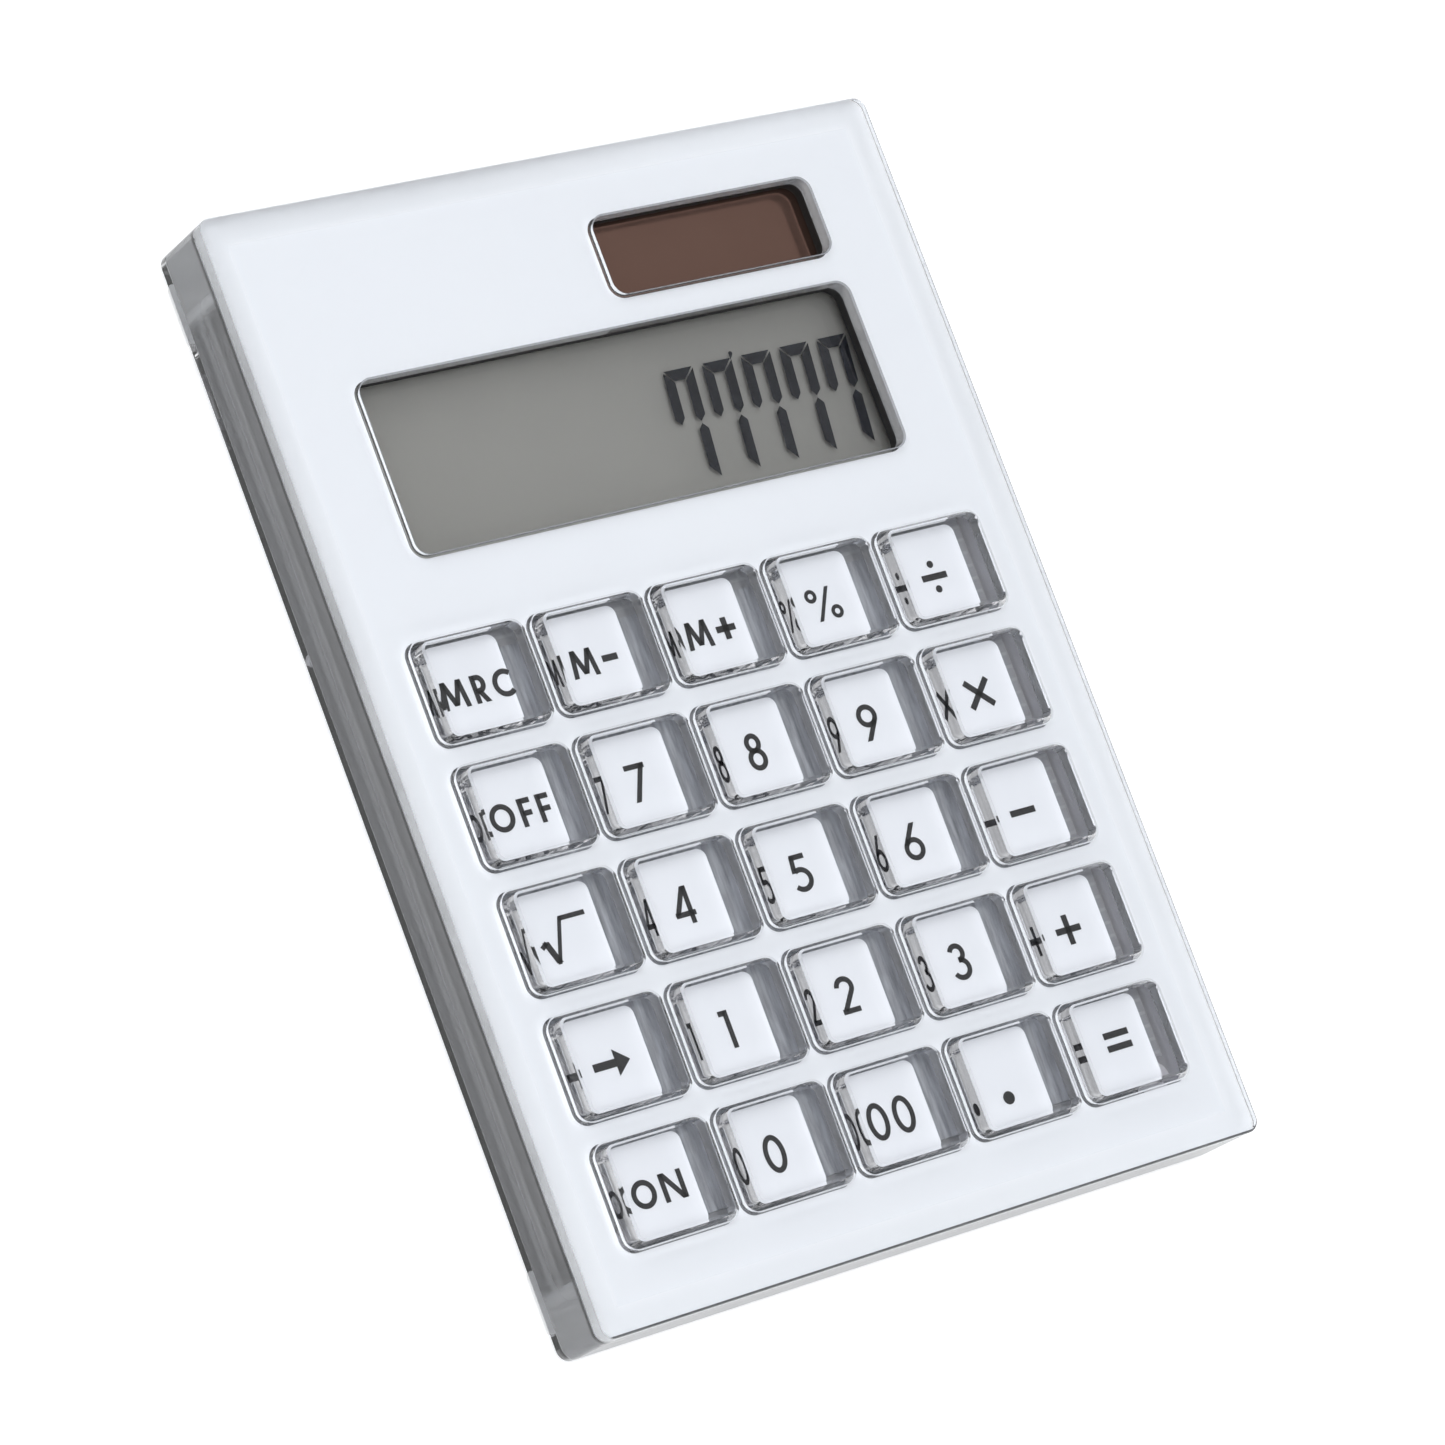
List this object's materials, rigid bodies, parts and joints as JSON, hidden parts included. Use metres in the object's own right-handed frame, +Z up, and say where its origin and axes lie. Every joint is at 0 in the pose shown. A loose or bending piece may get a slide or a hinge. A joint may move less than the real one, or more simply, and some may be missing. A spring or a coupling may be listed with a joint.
{
  "type": "desk calculator",
  "caption": "Desk calculator in clear acrylic with a white face, a grey display window, a brown solar cell and clear block keys with black legends.",
  "frame": {"origin": "middle of the footprint, on the surface that the feet stand on", "axes": "+X across the keys to the right, +Y from the keys to the solar cell, +Z up out of the face"},
  "size_m": [0.12, 0.1698, 0.0171],
  "materials": {
    "clear_acrylic": "clear polished acrylic",
    "white_film": "white print seen through the clear plate",
    "grey_abs": "fine matt moulded plastic",
    "steel": "zinc plated steel",
    "cell_steel": "nickel plated steel",
    "clear_rubber": "clear soft rubber",
    "board": "green solder mask",
    "black_resin": "cured black resin",
    "grey_silicone": "matt silicone rubber",
    "glass": "clear display glass",
    "lcd_film": "grey polarising film",
    "black_foam": "black foam",
    "ribbon": "flat flexible cable",
    "solar_brown": "dark brown solar glass"
  },
  "bodies": {
    "calculator": {"face_plate": "clear_acrylic", "face_backing": "white_film", "clear_case": "clear_acrylic", "inner_chassis": "grey_abs", "back_cover": "clear_acrylic", "case_screws": "steel", "feet": "clear_rubber", "battery_door": "clear_acrylic", "battery_door_screw": "steel", "button_cell": "cell_steel", "battery_contact_negative": "steel", "battery_contact_positive": "steel", "circuit_board": "board", "board_screws": "steel", "controller_chip": "black_resin", "capacitor": "black_resin", "board_resistors": "black_resin", "rubber_keypad": "grey_silicone", "lcd_glass": "glass", "lcd_polarizer": "lcd_film", "lcd_reflector": "lcd_film", "lcd_gasket": "black_foam", "lcd_ribbon": "ribbon", "solar_cell": "solar_brown", "solar_gasket": "black_foam", "solar_leads": "steel"},
    "key_mrc": {"key_mrc": "clear_acrylic"},
    "key_m_minus": {"key_m_minus": "clear_acrylic"},
    "key_m_plus": {"key_m_plus": "clear_acrylic"},
    "key_percent": {"key_percent": "clear_acrylic"},
    "key_divide": {"key_divide": "clear_acrylic"},
    "key_off": {"key_off": "clear_acrylic"},
    "key_7": {"key_7": "clear_acrylic"},
    "key_8": {"key_8": "clear_acrylic"},
    "key_9": {"key_9": "clear_acrylic"},
    "key_multiply": {"key_multiply": "clear_acrylic"},
    "key_root": {"key_root": "clear_acrylic"},
    "key_4": {"key_4": "clear_acrylic"},
    "key_5": {"key_5": "clear_acrylic"},
    "key_6": {"key_6": "clear_acrylic"},
    "key_minus": {"key_minus": "clear_acrylic"},
    "key_arrow": {"key_arrow": "clear_acrylic"},
    "key_1": {"key_1": "clear_acrylic"},
    "key_2": {"key_2": "clear_acrylic"},
    "key_3": {"key_3": "clear_acrylic"},
    "key_plus": {"key_plus": "clear_acrylic"},
    "key_on": {"key_on": "clear_acrylic"},
    "key_0": {"key_0": "clear_acrylic"},
    "key_00": {"key_00": "clear_acrylic"},
    "key_point": {"key_point": "clear_acrylic"},
    "key_equals": {"key_equals": "clear_acrylic"}
  },
  "joints": [
    {"name": "key_mrc_press", "type": "slide", "parent": "calculator", "child": "key_mrc", "axis": [0, 0, -1], "range_m": [0, 0.0012], "stiffness_N_per_m": 500, "springref_m": -0.0006, "deforming": ["rubber_keypad"]},
    {"name": "key_m_minus_press", "type": "slide", "parent": "calculator", "child": "key_m_minus", "axis": [0, 0, -1], "range_m": [0, 0.0012], "stiffness_N_per_m": 500, "springref_m": -0.0006, "deforming": ["rubber_keypad"]},
    {"name": "key_m_plus_press", "type": "slide", "parent": "calculator", "child": "key_m_plus", "axis": [0, 0, -1], "range_m": [0, 0.0012], "stiffness_N_per_m": 500, "springref_m": -0.0006, "deforming": ["rubber_keypad"]},
    {"name": "key_percent_press", "type": "slide", "parent": "calculator", "child": "key_percent", "axis": [0, 0, -1], "range_m": [0, 0.0012], "stiffness_N_per_m": 500, "springref_m": -0.0006, "deforming": ["rubber_keypad"]},
    {"name": "key_divide_press", "type": "slide", "parent": "calculator", "child": "key_divide", "axis": [0, 0, -1], "range_m": [0, 0.0012], "stiffness_N_per_m": 500, "springref_m": -0.0006, "deforming": ["rubber_keypad"]},
    {"name": "key_off_press", "type": "slide", "parent": "calculator", "child": "key_off", "axis": [0, 0, -1], "range_m": [0, 0.0012], "stiffness_N_per_m": 500, "springref_m": -0.0006, "deforming": ["rubber_keypad"]},
    {"name": "key_7_press", "type": "slide", "parent": "calculator", "child": "key_7", "axis": [0, 0, -1], "range_m": [0, 0.0012], "stiffness_N_per_m": 500, "springref_m": -0.0006, "deforming": ["rubber_keypad"]},
    {"name": "key_8_press", "type": "slide", "parent": "calculator", "child": "key_8", "axis": [0, 0, -1], "range_m": [0, 0.0012], "stiffness_N_per_m": 500, "springref_m": -0.0006, "deforming": ["rubber_keypad"]},
    {"name": "key_9_press", "type": "slide", "parent": "calculator", "child": "key_9", "axis": [0, 0, -1], "range_m": [0, 0.0012], "stiffness_N_per_m": 500, "springref_m": -0.0006, "deforming": ["rubber_keypad"]},
    {"name": "key_multiply_press", "type": "slide", "parent": "calculator", "child": "key_multiply", "axis": [0, 0, -1], "range_m": [0, 0.0012], "stiffness_N_per_m": 500, "springref_m": -0.0006, "deforming": ["rubber_keypad"]},
    {"name": "key_root_press", "type": "slide", "parent": "calculator", "child": "key_root", "axis": [0, 0, -1], "range_m": [0, 0.0012], "stiffness_N_per_m": 500, "springref_m": -0.0006, "deforming": ["rubber_keypad"]},
    {"name": "key_4_press", "type": "slide", "parent": "calculator", "child": "key_4", "axis": [0, 0, -1], "range_m": [0, 0.0012], "stiffness_N_per_m": 500, "springref_m": -0.0006, "deforming": ["rubber_keypad"]},
    {"name": "key_5_press", "type": "slide", "parent": "calculator", "child": "key_5", "axis": [0, 0, -1], "range_m": [0, 0.0012], "stiffness_N_per_m": 500, "springref_m": -0.0006, "deforming": ["rubber_keypad"]},
    {"name": "key_6_press", "type": "slide", "parent": "calculator", "child": "key_6", "axis": [0, 0, -1], "range_m": [0, 0.0012], "stiffness_N_per_m": 500, "springref_m": -0.0006, "deforming": ["rubber_keypad"]},
    {"name": "key_minus_press", "type": "slide", "parent": "calculator", "child": "key_minus", "axis": [0, 0, -1], "range_m": [0, 0.0012], "stiffness_N_per_m": 500, "springref_m": -0.0006, "deforming": ["rubber_keypad"]},
    {"name": "key_arrow_press", "type": "slide", "parent": "calculator", "child": "key_arrow", "axis": [0, 0, -1], "range_m": [0, 0.0012], "stiffness_N_per_m": 500, "springref_m": -0.0006, "deforming": ["rubber_keypad"]},
    {"name": "key_1_press", "type": "slide", "parent": "calculator", "child": "key_1", "axis": [0, 0, -1], "range_m": [0, 0.0012], "stiffness_N_per_m": 500, "springref_m": -0.0006, "deforming": ["rubber_keypad"]},
    {"name": "key_2_press", "type": "slide", "parent": "calculator", "child": "key_2", "axis": [0, 0, -1], "range_m": [0, 0.0012], "stiffness_N_per_m": 500, "springref_m": -0.0006, "deforming": ["rubber_keypad"]},
    {"name": "key_3_press", "type": "slide", "parent": "calculator", "child": "key_3", "axis": [0, 0, -1], "range_m": [0, 0.0012], "stiffness_N_per_m": 500, "springref_m": -0.0006, "deforming": ["rubber_keypad"]},
    {"name": "key_plus_press", "type": "slide", "parent": "calculator", "child": "key_plus", "axis": [0, 0, -1], "range_m": [0, 0.0012], "stiffness_N_per_m": 500, "springref_m": -0.0006, "deforming": ["rubber_keypad"]},
    {"name": "key_on_press", "type": "slide", "parent": "calculator", "child": "key_on", "axis": [0, 0, -1], "range_m": [0, 0.0012], "stiffness_N_per_m": 500, "springref_m": -0.0006, "deforming": ["rubber_keypad"]},
    {"name": "key_0_press", "type": "slide", "parent": "calculator", "child": "key_0", "axis": [0, 0, -1], "range_m": [0, 0.0012], "stiffness_N_per_m": 500, "springref_m": -0.0006, "deforming": ["rubber_keypad"]},
    {"name": "key_00_press", "type": "slide", "parent": "calculator", "child": "key_00", "axis": [0, 0, -1], "range_m": [0, 0.0012], "stiffness_N_per_m": 500, "springref_m": -0.0006, "deforming": ["rubber_keypad"]},
    {"name": "key_point_press", "type": "slide", "parent": "calculator", "child": "key_point", "axis": [0, 0, -1], "range_m": [0, 0.0012], "stiffness_N_per_m": 500, "springref_m": -0.0006, "deforming": ["rubber_keypad"]},
    {"name": "key_equals_press", "type": "slide", "parent": "calculator", "child": "key_equals", "axis": [0, 0, -1], "range_m": [0, 0.0012], "stiffness_N_per_m": 500, "springref_m": -0.0006, "deforming": ["rubber_keypad"]}
  ]
}
